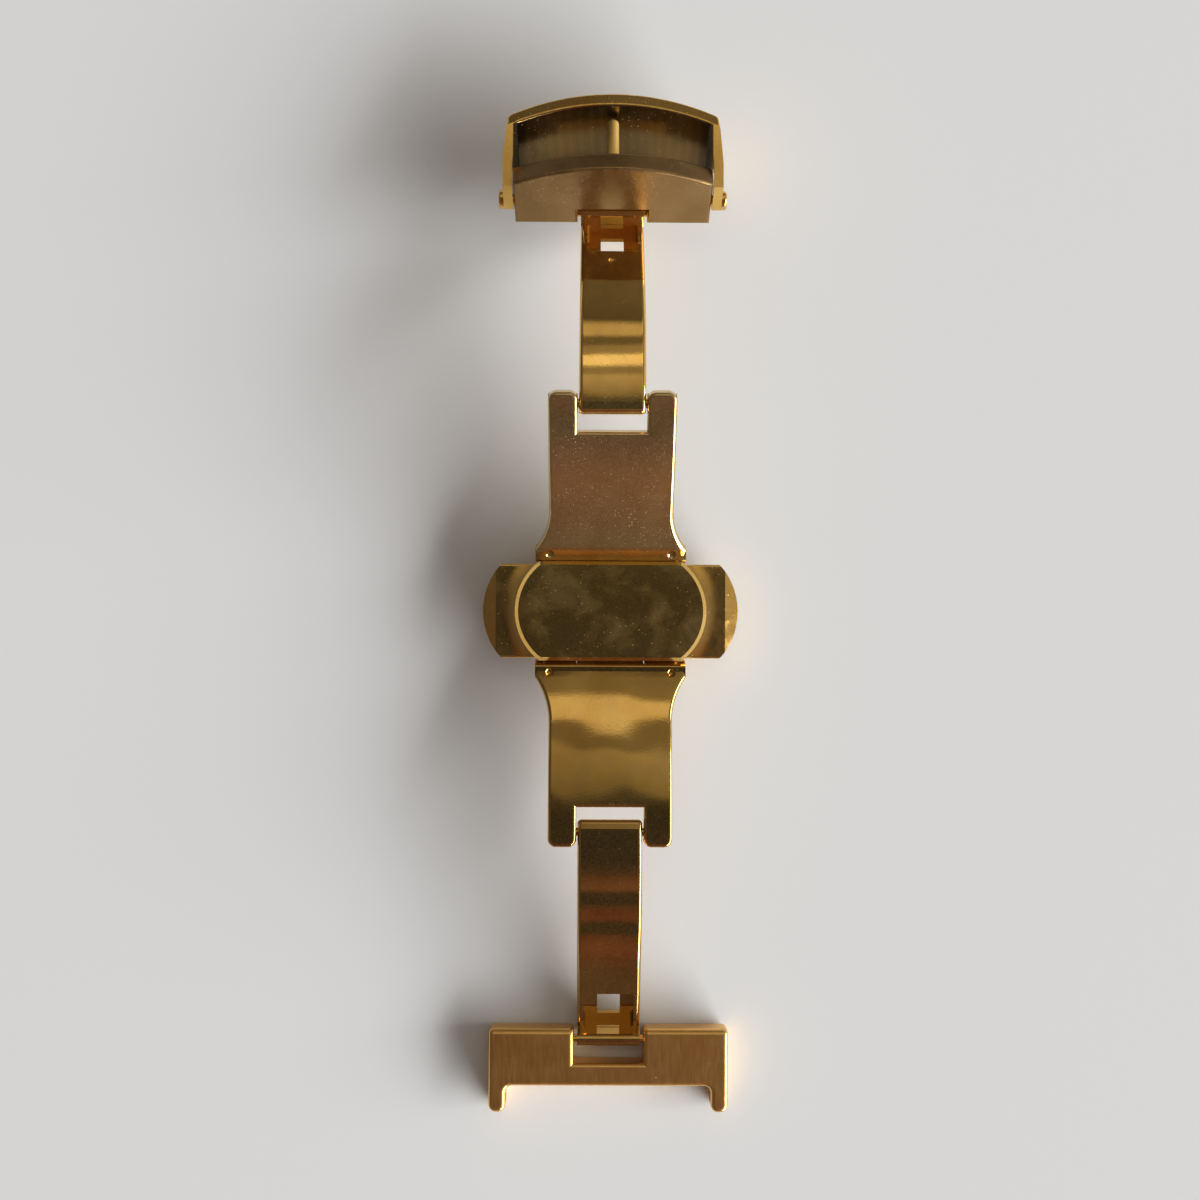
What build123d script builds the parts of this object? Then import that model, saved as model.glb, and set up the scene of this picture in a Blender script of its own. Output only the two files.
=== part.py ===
from build123d import *
import math
import os

# Butterfly clasp for an 18 mm strap end, laid open with its wrist side up.
# Millimetres. X is the width, Y runs along the strap, +Z faces the wrist.
# The origin is the middle of the wrist cover's face.
# Each piece is shaped where it lies when the clasp is shut, on the +Y side,
# and is then swung open about its own hinges.

# Running clearances
slide_gap = 0.1
pin_gap = 0.05
cut_over = 1.0

# Wrist cover
cover_half_width = 4.3
cover_reach = 8.3
cover_end_radius = 5.4
cover_thick = 1.0
cover_bevel = 0.3

# Tray under the cover
tray_half_length = 6.0
tray_half_width = 4.1
tray_thick = 2.6
tray_floor = 0.6
tray_rail = 0.65
tray_corner = 0.5
tray_edge = 0.25
anvil_half_length = 1.2
anvil_half_width = 1.1
rivet_radius = 0.2
rivet_reach = 4.8

# Push buttons
ear_reach = 11.15
ear_end_radius = 5.9
ear_thick = 2.2
ear_round = 0.2
ear_slope_start = 10.0
ear_slope_drop = 0.55
press_travel = 0.4
catch_width = 0.8
catch_thick = 0.5
catch_hook = 0.35
catch_hook_thick = 0.35
catch_inner = 0.45
spring_turns = 5
spring_radius = 0.5
spring_wire = 0.11

# Centre hinges
hinge_offset = 5.05
hinge_drop = 0.95
lug_half_width = 2.9
lug_radius = 0.7
neck_rise_share = 0.2
pin_radius = 0.4
strip_inner = 0.5
strip_outer = 0.72
strip_roof = 0.3
strip_round = 0.3
knuckle_radius = 0.8
stake_radius = 0.45
stake_depth = 0.16
stake_spread = 5.3
stake_offset = 0.25

# Wide blades
wide_reach = 14.1
wide_shut_slope = 10.0
wide_bend_radius = 45.0
wide_thick = 1.25
wide_root_drop = 0.35
wide_root_half = 6.55
wide_half = 5.3
flare_length = 3.9
fork_half_notch = 2.87
fork_notch_depth = 2.2
fork_tip = 1.2
fork_tip_round = 0.7
fork_boss_radius = 0.85
blade_round = 0.3
blade_face_share = 0.9

# Narrow blades
narrow_half = 2.75
narrow_thick = 1.25
narrow_tail_length = 1.0
narrow_flat_end = 8.5
narrow_round = 0.35
narrow_tail_round = 0.4
end_hinge_offset = 1.05
end_hinge_drop = 0.75
end_knuckle_radius = 0.6
end_pin_radius = 0.32
end_pin_reach = 4.4
end_toe_round = 0.9
window_half_width = 2.2
window_start = 0.65
window_length = 3.85
window_depth = 0.9
window_round = 0.3
slot_half_width = 1.0
slot_start = 1.4
slot_end = 4.4
dimple_radius = 0.4
dimple_depth = 0.2
dimple_place = 5.8

# Strap end
strap_width = 18.0
strap_end_thick = 2.3
strap_lug_width = 1.5
strap_body_length = 5.0
strap_lug_length = 2.3
strap_lug_round = 0.65
strap_root_round = 0.6
strap_end_back = 0.97
strap_end_notch = 3.0
strap_face_round = 0.55
strap_edge_round = 0.4
strap_bar_radius = 0.5
strap_bar_inset = 1.0
notch_half = 3.05

# Buckle
plate_half = 8.5
plate_thick = 1.85
plate_back = 0.6
plate_notch = 1.6
plate_side_length = 4.8
plate_mid_length = 6.6
plate_edge_round = 0.25
peg_radius = 0.5
peg_inset = 0.3
peg_gap = 0.45
strap_gap = 4.65
frame_wall = 0.8
frame_lean = 0.4
dome_rise = 1.5
frame_crown_thick = 1.35
frame_side_thick = 0.95
frame_length = 6.8
frame_bow = 0.9
frame_corner_round = 0.6
frame_root_length = 3.9
frame_pivot_place = 1.6
frame_pivot_radius = 0.45
frame_head_radius = 0.8
frame_head_thick = 0.4
frame_edge_round = 0.2

# How far each hinge is swung from shut when the clasp lies on a table
upper_wide_angle = 21.0
upper_narrow_angle = 119.6
buckle_angle = -76.6
lower_wide_angle = 0.0
lower_narrow_angle = 150.8
strap_end_angle = -150.8

# Levels and hinge points that follow from the sizes above
tray_top = -cover_thick
tray_bottom = tray_top - tray_thick
hinge_y = hinge_offset
hinge_z = tray_top - hinge_drop
fork_y = hinge_y + wide_reach * math.cos(math.radians(wide_shut_slope))
fork_z = hinge_z + wide_reach * math.sin(math.radians(wide_shut_slope))
narrow_inner_face = tray_bottom - slide_gap
narrow_outer_face = narrow_inner_face - narrow_thick
end_y = end_hinge_offset
end_z = narrow_outer_face - end_hinge_drop
strap_face = narrow_outer_face - slide_gap


def swing(y, z, angle):
    # A turn about the X line through (y, z).
    return Location((0, y, z)) * Location((0, 0, 0), (angle, 0, 0)) * Location((0, -y, -z))


def side_solid(face, half_width):
    # A side view, drawn in (y, z), made as wide as the piece.
    return extrude(Plane.YZ * face, half_width, both=True)


def plan_solid(face, low, high):
    return extrude(Pos(0, 0, low) * face, high - low)


def cross_rod(y, z, radius, half_width):
    # A round rod along X.
    return Pos(0, y, z) * Rot(0, 90, 0) * Cylinder(radius, 2 * half_width)


def box_between(x, y, z):
    centre = [(low + high) / 2 for low, high in (x, y, z)]
    size = [high - low for low, high in (x, y, z)]
    return Pos(*centre) * Box(*size)


def both_sides(shape):
    return [shape, Rot(0, 0, 180) * shape]


def rounded_end(half_width, reach, end_radius, start):
    # A plan outline: straight sides, and an arc of end_radius that reaches furthest at y = 0.
    centre = reach - end_radius
    corner = centre + math.sqrt(end_radius**2 - half_width**2)
    sides = [(corner, half_width), (start, half_width), (start, -half_width), (corner, -half_width)]
    outline = Polyline(*sides)
    outline += ThreePointArc((corner, -half_width), (reach, 0), (corner, half_width))
    return make_face(outline)


def wrist_cover():
    half = rounded_end(cover_half_width, cover_reach, cover_end_radius, 0)
    plate = plan_solid(half + Rot(0, 0, 180) * half, tray_top, 0)
    plate = chamfer(plate.faces().sort_by(Axis.Z)[-1].edges(), cover_bevel)
    for rivet in cover_rivet_places():
        plate -= Pos(*rivet, tray_top) * Cylinder(rivet_radius, cover_thick)
    return plate


def cover_rivet_places():
    rail_middle = tray_half_width - tray_rail / 2
    return [(x, y) for x in (-rivet_reach, rivet_reach) for y in (-rail_middle, rail_middle)]


def cover_rivets():
    depth = tray_thick + cover_thick / 2
    rivet = Pos(0, 0, tray_bottom + depth / 2) * Cylinder(rivet_radius, depth)
    return [Pos(x, y, 0) * rivet for x, y in cover_rivet_places()]


def hinge_lug():
    # The round lug with its neck, which ends below the blade's roof so that the blade can rise.
    neck = box_between(
        (-lug_half_width, lug_half_width),
        (tray_half_width - tray_rail, hinge_y),
        (hinge_z - lug_radius, hinge_z + neck_rise_share * lug_radius),
    )
    lug = neck + cross_rod(hinge_y, hinge_z, lug_radius, lug_half_width)
    return lug - cross_rod(hinge_y, hinge_z, pin_radius + pin_gap, lug_half_width + cut_over)


def centre_body():
    tray = box_between(
        (-tray_half_length, tray_half_length),
        (-tray_half_width, tray_half_width),
        (tray_bottom, tray_top),
    )
    tray = fillet(tray.edges().filter_by(Axis.Z), tray_corner)
    tray = chamfer(tray.faces().sort_by(Axis.Z)[0].edges(), tray_edge)
    channel = tray_half_width - tray_rail
    tray -= box_between(
        (-tray_half_length - cut_over, tray_half_length + cut_over),
        (-channel, channel),
        (tray_bottom + tray_floor, tray_top + cut_over),
    )
    tray += box_between(
        (-anvil_half_length, anvil_half_length),
        (-anvil_half_width, anvil_half_width),
        (tray_bottom, tray_top),
    )
    slot_reach = catch_inner + catch_thick + catch_hook + slide_gap
    for side in (-1, 1):
        near, far = sorted((side * channel, side * (channel - catch_width - 2 * slide_gap)))
        tray -= box_between(
            (-slot_reach, slot_reach),
            (near, far),
            (tray_bottom - cut_over, tray_bottom + tray_floor + cut_over),
        )
    for rivet in cover_rivet_places():
        tray -= Pos(*rivet, (tray_bottom + tray_top) / 2) * Cylinder(rivet_radius, tray_thick + cut_over)
    for lug in both_sides(hinge_lug()):
        tray += lug
    return tray


def catch(side):
    # A stem that goes down through the tray's floor and the blade's slot, with a hook facing outwards.
    channel = tray_half_width - tray_rail - slide_gap
    y = sorted((side * channel, side * (channel - catch_width)))
    hook_top = narrow_outer_face + window_depth - pin_gap
    hook_bottom = hook_top - catch_hook_thick
    top = tray_bottom + tray_floor + slide_gap
    stem_outer = catch_inner + catch_thick
    stem = box_between((catch_inner, stem_outer), y, (hook_bottom, top + pin_gap))
    hook = box_between((stem_outer, stem_outer + catch_hook), y, (hook_bottom, hook_top))
    ramp = hook.edges().filter_by(Axis.Y).sort_by(Axis.Z)[:2].sort_by(Axis.X)[-1]
    return stem + chamfer(ramp, catch_hook / 2)


def ear_slope(ear_top):
    # The flat that slopes down to the ear's rounded end, seen from the front, as a wedge to cut away.
    far = ear_reach + cut_over
    fall = ear_slope_drop * (far - ear_slope_start) / (ear_reach - ear_slope_start)
    wedge = make_face(
        Polyline(
            (ear_slope_start, ear_top),
            (far, ear_top - fall),
            (far, ear_top + cut_over),
            (ear_slope_start, ear_top + cut_over),
            close=True,
        )
    )
    return extrude(Plane.XZ * wedge, 2 * tray_half_width, both=True)


def push_button():
    # The right-hand button: ear, tongue in the tray, and two catches under the tongue.
    ear_top = tray_top - slide_gap
    ear_start = tray_half_length + press_travel + pin_gap
    ear = plan_solid(
        rounded_end(tray_half_width, ear_reach, ear_end_radius, ear_start), ear_top - ear_thick, ear_top
    )
    rim = ear.edges().filter_by(Axis.Z, reverse=True)
    rim = rim.filter_by_position(Axis.X, ear_start + pin_gap, ear_reach)
    ear = fillet(rim, ear_round) - ear_slope(ear_top)
    channel = tray_half_width - tray_rail - slide_gap
    tongue = box_between(
        (catch_inner, ear_start + pin_gap),
        (-channel, channel),
        (tray_bottom + tray_floor + slide_gap, ear_top),
    )
    slot_half = anvil_half_width + slide_gap
    tongue -= box_between((0, spring_seat()), (-slot_half, slot_half), (tray_bottom, 0))
    return ear + tongue + catch(1) + catch(-1)


def spring_seat():
    return tray_half_length - 2 * spring_radius - tray_rail


def button_spring():
    # A coil between the anvil and the end of the tongue's slot.
    length = spring_seat() - anvil_half_length - 2 * spring_wire
    line = Helix(length / spring_turns, length, spring_radius)
    start = Plane(origin=line @ 0, z_dir=line % 0)
    coil = sweep(start * Circle(spring_wire), path=line, is_frenet=True)
    middle = (tray_bottom + tray_floor + tray_top) / 2
    return Pos(anvil_half_length + spring_wire, 0, middle) * Rot(0, 90, 0) * coil


def ribbon(path, thick, side):
    # The strip between a path and its parallel, in (y, z).
    return make_face(path.offset_2d(thick, side=side, closed=True))


def wide_plan():
    # Full width at the hinge, a concave flare, then parallel sides out to the fork tips.
    start = hinge_y - strip_inner
    shoulder = hinge_y + strip_outer
    waist = shoulder + flare_length
    tip = fork_y + fork_tip
    right = Polyline((0, start), (wide_root_half, start), (wide_root_half, shoulder))
    right += TangentArc((wide_half, waist), (wide_root_half, shoulder), tangent=(0, -1))
    right += Polyline((wide_half, waist), (wide_half, tip), (0, tip), (0, start))
    half = make_face(right)
    return half + mirror(half, Plane.YZ)


def wide_path():
    root = (hinge_y, hinge_z - wide_root_drop)
    fork = (fork_y, fork_z + pin_gap)
    arc = RadiusArc(root, fork, wide_bend_radius, short_sagitta=True)
    ahead = arc % 1
    tip = (fork[0] + ahead.X * fork_tip, fork[1] + ahead.Y * fork_tip)
    return Wire([arc, Line(fork, tip)])


def wide_hinge_bar():
    # The barrel across the blade's root: round below, with the flat strip on top.
    top = hinge_z + lug_radius + pin_gap + strip_roof
    strip = make_face(
        Polyline(
            (hinge_y - strip_inner, hinge_z),
            (hinge_y + strip_outer, hinge_z),
            (hinge_y + strip_outer, top),
            (hinge_y - strip_inner, top),
            close=True,
        )
    )
    strip = fillet(strip.vertices().sort_by(Axis.Y)[-2:].sort_by(Axis.X)[0], strip_round)
    return side_solid(strip + Pos(hinge_y, hinge_z) * Circle(knuckle_radius), wide_root_half)


def lug_pocket():
    # What is cut from the blade's root so that the tray's lug fits under the strip.
    half = lug_half_width + pin_gap
    pocket = cross_rod(hinge_y, hinge_z, lug_radius + pin_gap, half)
    return pocket + box_between(
        (-half, half),
        (hinge_y - strip_inner - cut_over, hinge_y),
        (hinge_z - wide_thick, hinge_z + lug_radius + pin_gap),
    )


def stake_marks():
    top = hinge_z + lug_radius + pin_gap + strip_roof
    ball = Pos(0, hinge_y + stake_offset, top + stake_radius - stake_depth) * Sphere(stake_radius)
    return [Pos(side * stake_spread, 0, 0) * ball for side in (-1, 1)]


def fork_notch():
    start = fork_y - fork_notch_depth
    return box_between(
        (-fork_half_notch, fork_half_notch),
        (start, fork_y + fork_tip + cut_over),
        (fork_z - wide_thick, fork_z + 2 * wide_thick),
    )


def blade_rims(blade):
    # The edges round both broad faces, but for the root, which the barrel covers, and the seams
    # across the prongs, where the bent faces run on flat.
    faces = blade.faces()
    broad = [face for face in faces if abs(face.normal_at(face.center()).Z) > blade_face_share]
    rims = [edge for face in broad for edge in face.edges()]
    seams = ShapeList(rims).filter_by(Axis.X).filter_by_position(Axis.Y, fork_y - pin_gap, fork_y + pin_gap)
    return [edge for edge in rims if edge not in seams and edge.center().Y > hinge_y]


def wide_blade():
    blade = side_solid(ribbon(wide_path(), wide_thick, Side.LEFT), wide_root_half + cut_over)
    blade &= plan_solid(wide_plan(), tray_bottom, fork_z + wide_reach)
    blade -= fork_notch()
    corners = blade.edges().filter_by_position(Axis.Y, fork_y + fork_tip / 2, fork_y + 2 * fork_tip)
    blade = fillet(corners.filter_by(Axis.X, reverse=True).filter_by(Axis.Y, reverse=True), fork_tip_round)
    blade = fillet(blade_rims(blade), blade_round)
    blade += cross_rod(fork_y, fork_z, fork_boss_radius, wide_half) - fork_notch()
    blade -= cross_rod(fork_y, fork_z, pin_radius, wide_half + cut_over)
    blade += wide_hinge_bar()
    blade -= lug_pocket()
    blade -= cross_rod(hinge_y, hinge_z, pin_radius, wide_root_half + cut_over)
    for mark in stake_marks():
        blade -= mark
    return blade


def narrow_path():
    # Flat where the strap's end or the buckle lies against it, then an arc up to the fork.
    start = (end_y - end_knuckle_radius, narrow_inner_face)
    flat = Line(start, (narrow_flat_end, narrow_inner_face))
    fork = (fork_y, fork_z - pin_gap)
    arc = TangentArc(flat @ 1, fork, tangent=flat % 1)
    ahead = arc % 1
    tail = (fork[0] + ahead.X * narrow_tail_length, fork[1] + ahead.Y * narrow_tail_length)
    return Wire([flat, arc, Line(fork, tail)])


def narrow_window():
    # A pocket in the outer face, and a slot through its floor for the catches.
    pocket = box_between(
        (-window_half_width, window_half_width),
        (end_y + window_start, end_y + window_start + window_length),
        (narrow_outer_face - cut_over, narrow_outer_face + window_depth),
    )
    pocket = fillet(pocket.edges().filter_by(Axis.Z), window_round)
    slot = box_between(
        (-slot_half_width, slot_half_width),
        (end_y + slot_start, end_y + slot_end),
        (narrow_outer_face, narrow_inner_face + cut_over),
    )
    return pocket + slot


def narrow_blade():
    blade = side_solid(ribbon(narrow_path(), narrow_thick, Side.RIGHT), narrow_half)
    toe = blade.edges().filter_by(Axis.X).sort_by(Axis.Y)[:2].sort_by(Axis.Z)[-1]
    blade = fillet(toe, end_toe_round)
    tail = blade.edges().filter_by(Axis.X).group_by(Axis.Y)[-1]
    blade = fillet(tail, narrow_tail_round)
    long_edges = blade.edges().filter_by_position(Axis.Y, end_y + window_start, fork_y)
    blade = fillet(long_edges.filter_by(Axis.X, reverse=True), narrow_round)
    blade += cross_rod(fork_y, fork_z, fork_boss_radius, narrow_half)
    blade += box_between(
        (-narrow_half, narrow_half),
        (end_y - end_knuckle_radius, end_y + end_knuckle_radius),
        (end_z, narrow_outer_face + narrow_thick / 2),
    )
    blade += cross_rod(end_y, end_z, end_knuckle_radius, narrow_half)
    blade -= cross_rod(fork_y, fork_z, pin_radius + pin_gap, narrow_half + cut_over)
    blade -= cross_rod(end_y, end_z, end_pin_radius + pin_gap, narrow_half + cut_over)
    return blade - narrow_window()


def dimple():
    # A round punch mark in the outer face, only on the buckle's blade.
    bottom = narrow_outer_face + dimple_depth
    return Pos(0, end_y + dimple_place, bottom - dimple_radius) * Sphere(dimple_radius)


def strap_plan():
    # Half of the T: body, lug with a rounded tip, and the notch for the blade's knuckle.
    outer = strap_width / 2 + strap_lug_width
    back = end_y - strap_end_back
    front = back + strap_body_length
    tip = front + strap_lug_length
    half = make_face(
        Polyline(
            (0, back + strap_end_notch),
            (notch_half, back + strap_end_notch),
            (notch_half, back),
            (outer, back),
            (outer, tip),
            (strap_width / 2, tip),
            (strap_width / 2, front),
            (0, front),
            close=True,
        )
    )
    tips = half.vertices().group_by(Axis.Y)[-1]
    half = fillet(tips, strap_lug_round)
    root = half.vertices().filter_by_position(Axis.Y, front - pin_gap, front + pin_gap).sort_by(Axis.X)[-1]
    half = fillet(root, strap_root_round)
    return half + mirror(half, Plane.YZ)


def strap_end():
    piece = plan_solid(strap_plan(), strap_face - strap_end_thick, strap_face)
    back = piece.edges().filter_by(Axis.X).group_by(Axis.Y)[0]
    piece = fillet(back, strap_face_round)
    rims = piece.faces().sort_by(Axis.Z)[0].edges() + piece.faces().sort_by(Axis.Z)[-1].edges()
    piece = fillet(rims.filter_by_position(Axis.Y, end_y, end_y + strap_width), strap_edge_round)
    piece -= cross_rod(end_y, end_z, end_pin_radius, end_pin_reach)
    bar_y = end_y - strap_end_back + strap_body_length + strap_lug_length - strap_bar_inset
    return piece - cross_rod(bar_y, strap_face - strap_end_thick / 2, strap_bar_radius, strap_width)


def plate_plan():
    back = end_y - plate_back
    side = back + plate_side_length
    outline = Polyline(
        (plate_half, side),
        (plate_half, back),
        (notch_half, back),
        (notch_half, back + plate_notch),
        (-notch_half, back + plate_notch),
        (-notch_half, back),
        (-plate_half, back),
        (-plate_half, side),
    )
    outline += ThreePointArc((-plate_half, side), (0, back + plate_mid_length), (plate_half, side))
    return make_face(outline)


def buckle_plate():
    plate = plan_solid(plate_plan(), strap_face - plate_thick, strap_face)
    rims = plate.faces().sort_by(Axis.Z)[0].edges() + plate.faces().sort_by(Axis.Z)[-1].edges()
    plate = fillet(rims, plate_edge_round)
    plate -= cross_rod(end_y, end_z, end_pin_radius, end_pin_reach)
    return plate - cross_rod(frame_pivot_y(), end_z, frame_pivot_radius, plate_half + cut_over)


def frame_pivot_y():
    return end_y + frame_pivot_place


def buckle_peg():
    top = strap_face - plate_thick
    length = strap_gap - peg_gap
    place = end_y - plate_back + plate_mid_length - peg_inset - peg_radius
    peg = Pos(0, place, top - length / 2) * Cylinder(peg_radius, length)
    return fillet(peg.edges().sort_by(Axis.Z)[0], peg_radius / 2)


def frame_section():
    # The U seen from the strap's end: walls that lean in below the plate, and a domed crown.
    inner = plate_half + slide_gap
    outer = inner + frame_wall
    plate_under = strap_face - plate_thick
    crown = plate_under - strap_gap
    in_corner = (inner - frame_lean, crown + dome_rise)
    out_corner = (outer - frame_lean, crown + dome_rise - frame_side_thick)
    wall_top = [(inner, strap_face), (outer, strap_face)]
    wall = [in_corner, (inner, plate_under), *wall_top, (outer, plate_under), out_corner]
    other_wall = [(-x, z) for x, z in reversed(wall)]
    outline = Polyline(*wall) + Polyline(*other_wall)
    outline += ThreePointArc(in_corner, (0, crown), other_wall[-1])
    outline += ThreePointArc(out_corner, (0, crown - frame_crown_thick), other_wall[0])
    return make_face(outline)


def frame_plan():
    # The bowed front edge of the crown, as the outline that the frame is kept inside.
    half = plate_half + frame_wall + cut_over
    front = end_y + frame_length
    corner = front - frame_bow
    outline = Polyline((half, corner), (half, -front), (-half, -front), (-half, corner))
    outline += ThreePointArc((-half, corner), (0, front), (half, corner))
    return make_face(outline)


def frame_side():
    # The frame seen from its side: a long crown, and walls that narrow towards the pivots.
    crown = strap_face - plate_thick - strap_gap - frame_crown_thick
    pivot = frame_pivot_y()
    side = make_face(
        Polyline(
            (pivot, end_z),
            (pivot, strap_face),
            (end_y + frame_root_length, strap_face),
            (end_y + frame_length, crown + dome_rise),
            (end_y + frame_length, crown - cut_over),
            (end_y, crown - cut_over),
            (end_y, crown + dome_rise),
            close=True,
        )
    )
    return side + Pos(pivot, end_z) * Circle(frame_head_radius)


def buckle_frame():
    shell = extrude(Plane.XZ * frame_section(), -2 * frame_length)
    corners = shell.edges().filter_by(Axis.Y).group_by(Axis.Z)[0]
    shell = fillet(corners, frame_corner_round)
    shell &= plan_solid(frame_plan(), strap_face - plate_thick - 2 * strap_gap, strap_face)
    mouth = shell.faces().filter_by(GeomType.CYLINDER).sort_by(Axis.Y)[-1]
    shell = fillet(mouth.edges().filter_by(Axis.X, reverse=True), frame_edge_round)
    clear_width = plate_half + frame_wall + cut_over
    frame = shell & side_solid(frame_side(), clear_width)
    return frame - cross_rod(frame_pivot_y(), end_z, frame_pivot_radius + pin_gap, clear_width)


def frame_rivet():
    # The right-hand pivot: a pin fixed in the plate, with a domed head outside the wall.
    wall_outer = plate_half + slide_gap + frame_wall
    start = plate_half - 2 * frame_pivot_radius
    end = wall_outer + pin_gap
    middle = end + frame_head_thick / 2
    shank = Pos((start + end) / 2, 0, 0) * Rot(0, 90, 0) * Cylinder(frame_pivot_radius, end - start)
    head = Pos(middle, 0, 0) * Rot(0, 90, 0) * Cylinder(frame_head_radius, frame_head_thick)
    head = fillet(head.edges().sort_by(Axis.X)[-1], frame_head_thick / 2)
    return Pos(0, frame_pivot_y(), end_z) * (shank + head)


def write(name, shapes):
    solids = [solid for shape in shapes for solid in shape.solids()]
    export_step(Compound(solids), f"parts/{name}.step")


half_turn = Rot(0, 0, 180)

upper_wide = swing(hinge_y, hinge_z, upper_wide_angle)
upper_narrow = upper_wide * swing(fork_y, fork_z, upper_narrow_angle)
buckle = upper_narrow * swing(end_y, end_z, buckle_angle)
lower_wide = half_turn * swing(hinge_y, hinge_z, lower_wide_angle)
lower_narrow = lower_wide * swing(fork_y, fork_z, lower_narrow_angle)
strap_side = lower_narrow * swing(end_y, end_z, strap_end_angle)

os.makedirs("parts", exist_ok=True)

write("centre_body", [centre_body()])
write("wrist_cover", [wrist_cover()])
write("cover_rivets", cover_rivets())
write("right_button", [push_button()])
write("left_button", [half_turn * push_button()])
write("right_button_spring", [button_spring()])
write("left_button_spring", [half_turn * button_spring()])
for name, place in (("upper", upper_wide), ("lower", lower_wide)):
    write(f"{name}_wide_blade", [place * wide_blade()])
    write(f"{name}_centre_pin", [place * cross_rod(hinge_y, hinge_z, pin_radius, wide_root_half)])
    write(f"{name}_fork_pin", [place * cross_rod(fork_y, fork_z, pin_radius, wide_half)])
write("upper_narrow_blade", [upper_narrow * (narrow_blade() - dimple())])
write("lower_narrow_blade", [lower_narrow * narrow_blade()])
end_pin = cross_rod(end_y, end_z, end_pin_radius, end_pin_reach)
write("strap_end", [strap_side * strap_end()])
write("strap_end_pin", [strap_side * end_pin])
write("buckle_plate", [buckle * buckle_plate()])
write("buckle_pin", [buckle * end_pin])
write("buckle_peg", [buckle * buckle_peg()])
write("buckle_frame", [buckle * buckle_frame()])
write("right_frame_rivet", [buckle * frame_rivet()])
write("left_frame_rivet", [buckle * mirror(frame_rivet(), Plane.YZ)])
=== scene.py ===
import math

import bpy
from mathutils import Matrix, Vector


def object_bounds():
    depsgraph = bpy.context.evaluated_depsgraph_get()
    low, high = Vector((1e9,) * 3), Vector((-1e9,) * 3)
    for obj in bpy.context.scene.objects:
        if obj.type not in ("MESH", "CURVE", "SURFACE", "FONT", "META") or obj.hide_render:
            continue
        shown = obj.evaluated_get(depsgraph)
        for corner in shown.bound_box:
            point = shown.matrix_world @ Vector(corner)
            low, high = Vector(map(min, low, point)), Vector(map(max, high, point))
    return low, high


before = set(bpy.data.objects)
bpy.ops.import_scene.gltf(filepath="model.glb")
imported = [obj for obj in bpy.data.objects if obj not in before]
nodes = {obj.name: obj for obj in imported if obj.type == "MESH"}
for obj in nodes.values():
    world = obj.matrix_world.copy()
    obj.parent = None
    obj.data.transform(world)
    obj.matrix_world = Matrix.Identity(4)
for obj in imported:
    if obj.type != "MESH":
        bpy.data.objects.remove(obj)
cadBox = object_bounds()
print("frame loaded:", len(nodes), "nodes")


def newNode(tree, kind, place, **values):
    node = tree.nodes.new(kind)
    node.location = place
    for key, value in values.items():
        setattr(node, key, value)
    return node


def setInputs(node, **values):
    for key, value in values.items():
        node.inputs[key.replace("_", " ")].default_value = value


def toneRamp(tree, place, stops):
    # A colour ramp from a list of (position, colour) stops.
    ramp = newNode(tree, "ShaderNodeValToRGB", place)
    elements = ramp.color_ramp.elements
    for index, (position, colour) in enumerate(stops):
        element = elements[index] if index < 2 else elements.new(position)
        element.position = position
        element.color = (*colour, 1.0)
    return ramp


def noiseField(tree, source, place, **values):
    # A noise texture on the given coordinates.
    noise = newNode(tree, "ShaderNodeTexNoise", place)
    setInputs(noise, **values)
    tree.links.new(source, noise.inputs["Vector"])
    return noise.outputs["Fac"]


def sumOf(tree, kind, place, *terms):
    # One Math node; each term is a socket or a number.
    node = newNode(tree, "ShaderNodeMath", place, operation=kind)
    for index, term in enumerate(terms):
        if isinstance(term, (int, float)):
            node.inputs[index].default_value = term
        else:
            tree.links.new(term, node.inputs[index])
    return node.outputs["Value"]


def masked(tree, source, place, low, high):
    # 0 below low, 1 above high; low may be the larger, which turns it round.
    ramp = newNode(tree, "ShaderNodeMapRange", place)
    setInputs(ramp, From_Min=low, From_Max=high)
    tree.links.new(source, ramp.inputs["Value"])
    return ramp.outputs["Result"]


def mixedTone(tree, place, share, first, second):
    # One colour Mix node; each tone is a socket or a colour.
    node = newNode(tree, "ShaderNodeMix", place, data_type="RGBA")
    tree.links.new(share, node.inputs["Factor"])
    for key, tone in (("A", first), ("B", second)):
        if isinstance(tone, tuple):
            node.inputs[key].default_value = (*tone, 1.0)
        else:
            tree.links.new(tone, node.inputs[key])
    return node.outputs["Result"]


# The soft dip where each button's top runs up to the cover: a bump round the cover's end
buttonCove = {
    "coveCentre": 0.0029,  # of the cover's end circle, to either side
    "coveRadius": 0.0054,
    "coveWidth": 0.0014,
    "coveDepth": 0.0002,
}

# The lower narrow blade leaves its hinge nearly flat: a bump levels its first few millimetres
bladeStart = {"levelFrom": -0.0223, "levelTo": -0.0185, "levelDepth": 0.0003}

# Painted shade in the hollow of the buckle frame: all that lies behind its bowed inner face is
# darkened
frameHollowShade = {
    "hollowNormal": (0.0, -0.90, 0.44),
    "hollowPlace": -0.0378,
    "hollowBow": 22.2,
    "hollowHalfWidth": 0.00848,
    "hollowFade": 0.0001,
    "sideFade": 1.02,
    # the dark colour painted there as shade
    "hollowShadeTone": (0.05, 0.034, 0.016),
}

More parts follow.
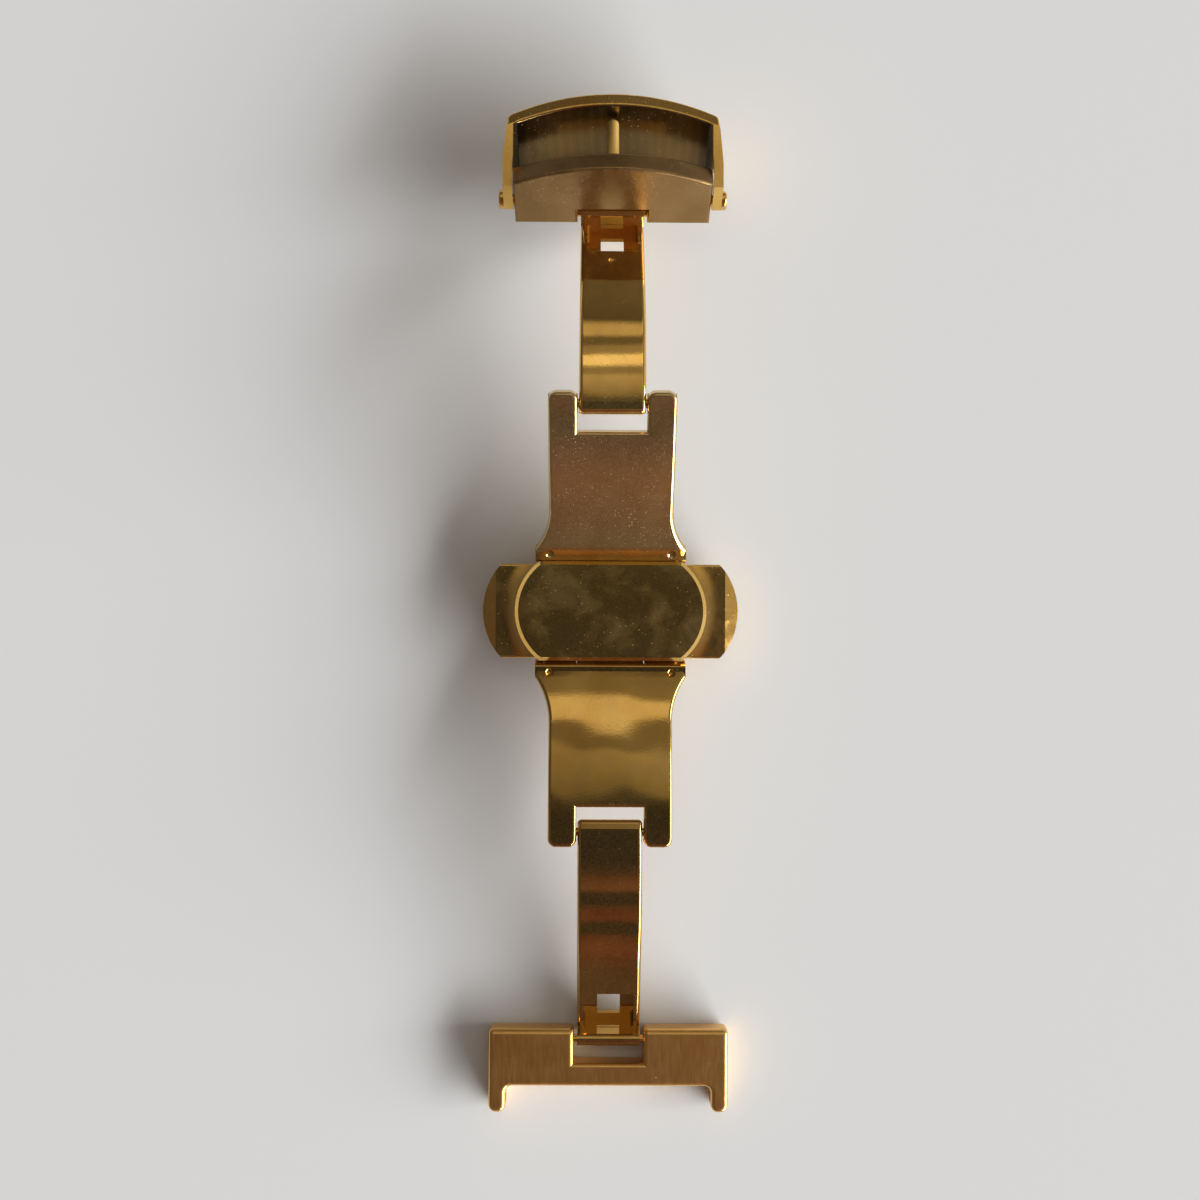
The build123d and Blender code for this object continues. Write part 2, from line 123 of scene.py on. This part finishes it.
# Every gold finish starts from these; a finish lists only what differs. Scales are per metre.
platedGold = {
    "lightTone": (0.90, 0.575, 0.165),
    "darkTone": (0.80, 0.47, 0.11),
    "toneScale": 190.0,
    "toneNoise": {"Detail": 3.0, "Roughness": 0.6},
    "toneRange": (0.35, 0.7),
    "roughness": 0.11,
    "smudgeScale": 420.0,
    "smudgeNoise": {"Detail": 4.0, "Roughness": 0.55, "Distortion": 0.6},
    "smudgeRange": (0.46, 0.68),
    "smudgeRoughness": 0.10,
    "smudgeTone": (0.46, 0.31, 0.13),
    "smudgeShare": 0.25,
    "grainStretch": (1.0, 1.0, 1.0),
    "grainScale": 5200.0,
    "grainNoise": {"Detail": 3.0, "Roughness": 0.65},
    "grainRoughness": 0.05,
    "grainDepth": 0.000002,
    "waveScale": 130.0,
    "waveNoise": {"Detail": 1.0, "Roughness": 0.35},
    "waveDepth": 0.00004,
    "filmTone": (0.28, 0.25, 0.23),
    "filmShare": 0.045,  # on average, with grain in it
    "filmRange": (0.25, 0.75),
    "smudgeFilm": 0.0,
    "dustScale": 3600.0,
    "dustSize": 0.16,  # of the space between specks
    "dustCore": 0.4,  # of that size
    "dustShare": 0.25,
    "dustFade": 0.15,
    "dustCloud": (0.35, 0.6),
    "dustTone": (0.66, 0.56, 0.40),
    "dustRoughness": 0.4,
    "dustDepth": 0.00001,
}


def coveHeight(tree, place, look):
    # 1 at the cover's rounded end, falling ever more gently to 0 over the cove's width.
    mirrored = newNode(tree, "ShaderNodeVectorMath", (-1150, -900), operation="ABSOLUTE")
    tree.links.new(place, mirrored.inputs[0])
    flat = newNode(tree, "ShaderNodeVectorMath", (-950, -900), operation="MULTIPLY_ADD")
    tree.links.new(mirrored.outputs["Vector"], flat.inputs[0])
    flat.inputs[1].default_value = (1.0, 1.0, 0.0)
    flat.inputs[2].default_value = (-look["coveCentre"], 0.0, 0.0)
    reach = newNode(tree, "ShaderNodeVectorMath", (-750, -900), operation="LENGTH")
    tree.links.new(flat.outputs["Vector"], reach.inputs[0])
    outer = look["coveRadius"] + look["coveWidth"]
    rise = masked(tree, reach.outputs["Value"], (-550, -900), outer, look["coveRadius"])
    return sumOf(tree, "MULTIPLY", (-350, -900), rise, rise)


def levelHeight(tree, place, look):
    # 0 where the levelled stretch ends, rising ever faster to 1 at the hinge.
    parts = newNode(tree, "ShaderNodeSeparateXYZ", (-1150, -1100))
    tree.links.new(place, parts.inputs["Vector"])
    rise = masked(tree, parts.outputs["Y"], (-550, -1100), look["levelFrom"], look["levelTo"])
    return sumOf(tree, "MULTIPLY", (-350, -1100), rise, rise)


def hollowShadeMask(tree, place, look):
    # 1 inside the frame, where shade is painted: past the inner face, bowed by across squared, and
    # between the walls.
    depth = newNode(tree, "ShaderNodeVectorMath", (-1150, 900), operation="DOT_PRODUCT")
    depth.inputs[1].default_value = look["hollowNormal"]
    tree.links.new(place, depth.inputs[0])
    parts = newNode(tree, "ShaderNodeSeparateXYZ", (-1150, 1100))
    tree.links.new(place, parts.inputs["Vector"])
    across = sumOf(tree, "MULTIPLY", (-950, 1100), parts.outputs["X"], parts.outputs["X"])
    bow = sumOf(tree, "MULTIPLY", (-800, 1100), across, look["hollowBow"])
    behind = sumOf(tree, "SUBTRACT", (-650, 1000), depth.outputs["Value"], bow)
    start = look["hollowPlace"]
    within = masked(tree, behind, (-500, 1000), start - look["hollowFade"], start)
    half = look["hollowHalfWidth"] ** 2
    between = masked(tree, across, (-500, 1200), half * look["sideFade"], half)
    return sumOf(tree, "MULTIPLY", (-300, 1100), within, between)


def goldFinish(name, **changes):
    # Plating: slow tone drift, finger smudges, fine grain, a slight wave of the sheet and dust.
    look = {**platedGold, **changes}
    material = bpy.data.materials.new(name)
    material.use_nodes = True
    tree = material.node_tree
    tree.nodes.clear()
    link = tree.links.new
    output = newNode(tree, "ShaderNodeOutputMaterial", (1500, 0))
    shader = newNode(tree, "ShaderNodeBsdfPrincipled", (1200, 0))
    link(shader.outputs["BSDF"], output.inputs["Surface"])
    place = newNode(tree, "ShaderNodeTexCoord", (-1400, 0)).outputs["Object"]
    stretch = newNode(tree, "ShaderNodeMapping", (-1150, -200))
    stretch.inputs["Scale"].default_value = look["grainStretch"]
    link(place, stretch.inputs["Vector"])

    stretched = stretch.outputs["Vector"]
    drift = noiseField(tree, place, (-850, 600), Scale=look["toneScale"], **look["toneNoise"])
    smudge = noiseField(tree, place, (-850, 350), Scale=look["smudgeScale"], **look["smudgeNoise"])
    grain = noiseField(tree, stretched, (-850, 100), Scale=look["grainScale"], **look["grainNoise"])
    sway = noiseField(tree, place, (-850, -150), Scale=look["waveScale"], **look["waveNoise"])
    smudged = masked(tree, smudge, (-600, 350), *look["smudgeRange"])

    cells = newNode(tree, "ShaderNodeTexVoronoi", (-850, -400))
    setInputs(cells, Scale=look["dustScale"], Randomness=1.0)
    link(place, cells.inputs["Vector"])
    chance = newNode(tree, "ShaderNodeSeparateColor", (-600, -500))
    link(cells.outputs["Color"], chance.inputs["Color"])
    edge = look["dustSize"]
    near = masked(tree, cells.outputs["Distance"], (-600, -350), edge, edge * look["dustCore"])
    kept = 1.0 - look["dustShare"]
    rare = masked(tree, chance.outputs["Red"], (-350, -500), kept, kept + look["dustFade"])
    cloudy = masked(tree, drift, (-350, -650), *look["dustCloud"])
    sparse = sumOf(tree, "MULTIPLY", (-200, -550), rare, cloudy)
    dust = sumOf(tree, "MULTIPLY", (-100, -400), near, sparse)

    dark, light = look["toneRange"]
    gold = toneRamp(tree, (-600, 650), [(dark, look["darkTone"]), (light, look["lightTone"])])
    link(drift, gold.inputs["Fac"])
    smear = sumOf(tree, "MULTIPLY", (-350, 400), smudged, look["smudgeShare"])
    smeared = mixedTone(tree, (-50, 500), smear, gold.outputs["Color"], look["smudgeTone"])
    # Painted shade: the frame's hollow is darkened to the shade tone.
    if "hollowShadeTone" in look:
        hollow = hollowShadeMask(tree, place, look)
        smeared = mixedTone(tree, (50, 650), hollow, smeared, look["hollowShadeTone"])
    thick = masked(tree, grain, (-350, 550), *look["filmRange"])
    evenFilm = sumOf(tree, "MULTIPLY", (-200, 700), thick, 2.0 * look["filmShare"])
    film = sumOf(tree, "MULTIPLY_ADD", (-50, 700), smudged, look["smudgeFilm"], evenFilm)
    filmed = mixedTone(tree, (100, 500), film, smeared, look["filmTone"])
    dusted = mixedTone(tree, (300, 400), dust, filmed, look["dustTone"])
    link(dusted, shader.inputs["Base Color"])
    covered = sumOf(tree, "MAXIMUM", (300, 200), film, dust)
    link(sumOf(tree, "SUBTRACT", (500, 150), 1.0, covered), shader.inputs["Metallic"])

    greasy = sumOf(tree, "MULTIPLY", (-350, 200), smudged, look["smudgeRoughness"])
    grainy = sumOf(tree, "MULTIPLY", (-350, 50), grain, look["grainRoughness"])
    worn = sumOf(tree, "ADD", (-200, 150), greasy, grainy)
    dull = sumOf(tree, "ADD", (-50, 150), worn, look["roughness"])
    dusty = sumOf(tree, "MULTIPLY", (300, -50), dust, look["dustRoughness"])
    link(sumOf(tree, "ADD", (600, 50), dull, dusty), shader.inputs["Roughness"])

    bumps = [(sway, look["waveDepth"]), (grain, look["grainDepth"]), (dust, look["dustDepth"])]
    if "coveDepth" in look:
        bumps.insert(0, (coveHeight(tree, place, look), look["coveDepth"]))
    if "levelDepth" in look:
        bumps.insert(0, (levelHeight(tree, place, look), look["levelDepth"]))
    normal = None
    for index, (height, depth) in enumerate(bumps):
        bump = newNode(tree, "ShaderNodeBump", (300 + 250 * index, -300))
        setInputs(bump, Strength=1.0, Distance=depth)
        link(height, bump.inputs["Height"])
        if normal:
            link(normal, bump.inputs["Normal"])
        normal = bump.outputs["Normal"]
    link(normal, shader.inputs["Normal"])
    return material


finishes = {
    "coverGold": goldFinish(
        "coverGold", roughness=0.05, grainRoughness=0.05, grainDepth=0.000004, smudgeScale=380.0,
        smudgeRoughness=0.08, smudgeShare=0.3, smudgeFilm=0.08, filmShare=0.03,
        filmTone=(0.40, 0.31, 0.20), dustShare=0.5, dustSize=0.11,
    ),
    "hazedGold": goldFinish(
        "hazedGold", lightTone=(0.74, 0.54, 0.24), darkTone=(0.62, 0.43, 0.17), roughness=0.15,
        smudgeShare=0.1, smudgeRoughness=0.05, filmShare=0.07, dustShare=0.6, dustSize=0.13,
        dustScale=5000.0, grainScale=7000.0, grainDepth=0.000003,
    ),
    # The lower wide blade: the plated gold in darker tones as painted shade, with a wavy bump in
    # its sheet.
    "wavyGoldPaintedShade": goldFinish(
        "wavyGoldPaintedShade", lightTone=(0.62, 0.39, 0.105), darkTone=(0.52, 0.30, 0.07), roughness=0.03,
        smudgeRoughness=0.03, grainRoughness=0.02, waveScale=150.0, waveDepth=0.0002,
        dustShare=0.15, dustSize=0.12,
    ),
    "mirrorGold": goldFinish(
        "mirrorGold", roughness=0.03, smudgeRoughness=0.03, grainRoughness=0.02,
        waveDepth=0.00009, dustShare=0.2, dustSize=0.12,
    ),
    # The lower narrow blade: the plated gold in darker tones as painted shade, levelled near its
    # hinge by a bump.
    "deepGoldPaintedShade": goldFinish(
        "deepGoldPaintedShade", lightTone=(0.62, 0.38, 0.11), darkTone=(0.52, 0.29, 0.075), roughness=0.03,
        smudgeRoughness=0.03, grainRoughness=0.02, waveDepth=0.00009, dustShare=0.2,
        dustSize=0.12, **bladeStart,
    ),
    "buttonGold": goldFinish("buttonGold", roughness=0.09, dustShare=0.4, **buttonCove),
    "satinGold": goldFinish(
        "satinGold", lightTone=(0.90, 0.54, 0.17), darkTone=(0.79, 0.44, 0.12), roughness=0.26,
        smudgeShare=0.06, smudgeRoughness=0.03, grainStretch=(1.0, 0.1, 1.0),
        grainRoughness=0.08, grainDepth=0.000008, waveDepth=0.00002, dustShare=0.12,
    ),
    # The buckle plate: the plated gold in much darker tones as painted shade.
    "plateGoldPaintedShade": goldFinish(
        "plateGoldPaintedShade", lightTone=(0.40, 0.25, 0.105), darkTone=(0.31, 0.185, 0.07), roughness=0.24,
        smudgeShare=0.1, filmShare=0.02, dustShare=0.7, grainRoughness=0.12,
        grainDepth=0.00001, waveDepth=0.00002,
    ),
    # The frame's finish, with painted shade in its hollow
    "frameGold": goldFinish("frameGold", roughness=0.11, dustShare=0.45, **frameHollowShade),
    # The peg: brighter gold tones and a thick bright yellow film, painted light that makes the peg
    # look lit.
    "pegGoldPaintedLight": goldFinish(
        "pegGoldPaintedLight", roughness=0.45, lightTone=(0.98, 0.70, 0.20), darkTone=(0.95, 0.64, 0.16),
        filmShare=0.4, filmTone=(0.95, 0.62, 0.19),
    ),
    "pinGold": goldFinish("pinGold", roughness=0.14, waveDepth=0.00001),
    "insideGold": goldFinish(
        "insideGold", roughness=0.3, lightTone=(0.76, 0.5, 0.18), darkTone=(0.6, 0.36, 0.11),
    ),
    "springSteel": goldFinish(
        "springSteel", roughness=0.22, lightTone=(0.62, 0.61, 0.58), darkTone=(0.42, 0.41, 0.39),
        smudgeTone=(0.3, 0.29, 0.27),
    ),
}
finishOf = {
    "wrist_cover": "coverGold",
    "upper_wide_blade": "hazedGold",
    "lower_wide_blade": "wavyGoldPaintedShade",
    "upper_narrow_blade": "mirrorGold",
    "lower_narrow_blade": "deepGoldPaintedShade",
    "right_button": "buttonGold",
    "left_button": "buttonGold",
    "centre_body": "insideGold",
    "cover_rivets": "insideGold",
    "right_button_spring": "springSteel",
    "left_button_spring": "springSteel",
    "strap_end": "satinGold",
    "buckle_plate": "plateGoldPaintedShade",
    "buckle_frame": "frameGold",
    "buckle_peg": "pegGoldPaintedLight",
}
for name, piece in nodes.items():
    piece.data.materials.clear()
    piece.data.materials.append(finishes[finishOf.get(name, "pinGold")])
print("finishes made:", len(finishes))

# A pale matt sheet of paper under the clasp
sheet = {
    "tone": (0.85, 0.88, 0.905),
    "roughness": 0.85,
    "sheen": 0.0,
    "halfSize": 2.5,
    "gap": 0.00002,
}


def paleFloor():
    low = cadBox[0][2] - sheet["gap"]
    half = sheet["halfSize"]
    mesh = bpy.data.meshes.new("floorSheet")
    corners = [(-half, -half, low), (half, -half, low), (half, half, low), (-half, half, low)]
    mesh.from_pydata(corners, [], [(0, 1, 2, 3)])
    floor = bpy.data.objects.new("floorSheet", mesh)
    bpy.context.scene.collection.objects.link(floor)
    material = bpy.data.materials.new("paleSheet")
    material.use_nodes = True
    shader = material.node_tree.nodes["Principled BSDF"]
    setInputs(shader, Base_Color=(*sheet["tone"], 1.0), Roughness=sheet["roughness"])
    setInputs(shader, Specular_IOR_Level=sheet["sheen"])
    mesh.materials.append(material)


paleFloor()

# One large window: place in metres, aimed at the origin, size in metres, power in watts
window = {
    "place": (5.3, -2.7, 1.9),
    "size": (9.0, 2.4),
    "power": 960.0,
    "tone": (1.0, 0.995, 0.98),
}


def windowLight():
    lamp = bpy.data.lights.new("window", "AREA")
    lamp.shape = "RECTANGLE"
    lamp.size, lamp.size_y = window["size"]
    lamp.energy = window["power"]
    lamp.color = window["tone"]
    holder = bpy.data.objects.new("window", lamp)
    bpy.context.scene.collection.objects.link(holder)
    holder.location = window["place"]
    x, y, z = window["place"]
    tilt = math.atan2(math.hypot(x, y), z)
    holder.rotation_euler = (tilt, 0.0, math.atan2(y, x) + math.pi / 2)


windowLight()

# The room that the metal mirrors. An angle is in degrees from straight overhead towards the
# buckle, and is negative towards the strap's end. Low down to either side, the stops aside
# take over; they go by the sideways part of the direction, from -1 to 1.
room = {
    "across": [
        (-82, (0.13, 0.095, 0.08)),
        (-73, (0.095, 0.058, 0.048)),
        (-66, (0.13, 0.056, 0.045)),
        (-57, (0.185, 0.074, 0.06)),
        (-49, (0.12, 0.05, 0.04)),
        (-46, (0.045, 0.034, 0.034)),
        (-40, (0.045, 0.034, 0.034)),
        (-36, (0.16, 0.062, 0.05)),
        (-29, (0.12, 0.05, 0.042)),
        (-25, (0.034, 0.03, 0.034)),
        (-19, (0.045, 0.034, 0.034)),
        (-16, (0.20, 0.105, 0.08)),
        (-9, (0.13, 0.065, 0.05)),
        (-5, (0.032, 0.03, 0.036)),
        (2, (0.028, 0.029, 0.036)),
        (5.5, (0.08, 0.075, 0.065)),
        (7, (0.25, 0.22, 0.16)),
        (12.5, (0.37, 0.33, 0.25)),
        (16, (0.42, 0.375, 0.29)),
        (17.5, (0.42, 0.375, 0.29)),
        (19, (0.24, 0.215, 0.165)),
        (22.5, (0.26, 0.23, 0.18)),
        (24.3, (0.97, 0.88, 0.70)),
        (29.4, (1.0, 0.92, 0.74)),
        (31, (0.32, 0.285, 0.225)),
        (35.5, (0.28, 0.25, 0.20)),
        (37.5, (0.13, 0.115, 0.09)),
        (41.5, (0.13, 0.115, 0.09)),
        (44, (0.52, 0.46, 0.36)),
        (50, (0.50, 0.44, 0.34)),
        (53.5, (0.08, 0.07, 0.055)),
        (82, (0.12, 0.105, 0.09)),
    ],
    "leanReach": 0.5,
    "leftShare": 0.5,
    "rightShare": 1.6,
    "aside": [
        (-0.95, (0.10, 0.07, 0.05)),
        (-0.5, (0.14, 0.13, 0.14)),
        (0.5, (0.24, 0.22, 0.21)),
        (0.84, (0.30, 0.27, 0.23)),
        (0.93, (0.80, 0.74, 0.64)),
    ],
    "asideStart": 0.26,
    "asideEnd": 0.5,
    "strength": 1.0,
}


def roomLight():
    world = bpy.data.worlds.new("room")
    bpy.context.scene.world = world
    world.use_nodes = True
    tree = world.node_tree
    link = tree.links.new
    coords = newNode(tree, "ShaderNodeTexCoord", (-1300, 0))
    parts = newNode(tree, "ShaderNodeSeparateXYZ", (-1100, 0))
    link(coords.outputs["Generated"], parts.inputs["Vector"])

    stops = [(math.sin(math.radians(angle)), tone) for angle, tone in room["across"]]
    across = toneRamp(tree, (-700, 200), [((level + 1.0) / 2.0, tone) for level, tone in stops])
    link(masked(tree, parts.outputs["Y"], (-900, 200), -1.0, 1.0), across.inputs["Fac"])

    lean = newNode(tree, "ShaderNodeMapRange", (-450, 0))
    reach = room["leanReach"]
    setInputs(lean, From_Min=-reach, From_Max=reach)
    setInputs(lean, To_Min=room["leftShare"], To_Max=room["rightShare"])
    link(parts.outputs["X"], lean.inputs["Value"])
    leant = newNode(tree, "ShaderNodeVectorMath", (-100, 250), operation="SCALE")
    link(across.outputs["Color"], leant.inputs["Vector"])
    link(lean.outputs["Result"], leant.inputs["Scale"])
    stops = [((level + 1.0) / 2.0, tone) for level, tone in room["aside"]]
    aside = toneRamp(tree, (-700, -250), stops)
    link(masked(tree, parts.outputs["X"], (-900, -250), -1.0, 1.0), aside.inputs["Fac"])
    outward = sumOf(tree, "ABSOLUTE", (-900, -500), parts.outputs["X"])
    share = masked(tree, outward, (-450, -400), room["asideStart"], room["asideEnd"])
    whole = mixedTone(tree, (0, 100), share, leant.outputs["Vector"], aside.outputs["Color"])
    link(whole, tree.nodes["Background"].inputs["Color"])
    tree.nodes["Background"].inputs["Strength"].default_value = room["strength"]


roomLight()

# The photograph's view: nearly straight down, 1200 pixels square
view = {
    "place": (-0.001527, -0.000886, 0.118670),
    "turn": (0.886, -0.295, 0.277),
    "focalPixels": 1374.2,
    "framePixels": 1200.0,
    "sensor": 36.0,
    "nearest": 0.001,
    "farthest": 10.0,
}


def photoCamera():
    lens = bpy.data.cameras.new("photoCamera")
    lens.sensor_width = view["sensor"]
    lens.lens = view["sensor"] * view["focalPixels"] / view["framePixels"]
    lens.clip_start = view["nearest"]
    lens.clip_end = view["farthest"]
    camera = bpy.data.objects.new("photoCamera", lens)
    bpy.context.scene.collection.objects.link(camera)
    camera.location = view["place"]
    camera.rotation_euler = [math.radians(angle) for angle in view["turn"]]
    bpy.context.scene.camera = camera


photoCamera()
bpy.context.scene.view_settings.view_transform = "Standard"
print("stage, light and camera set")
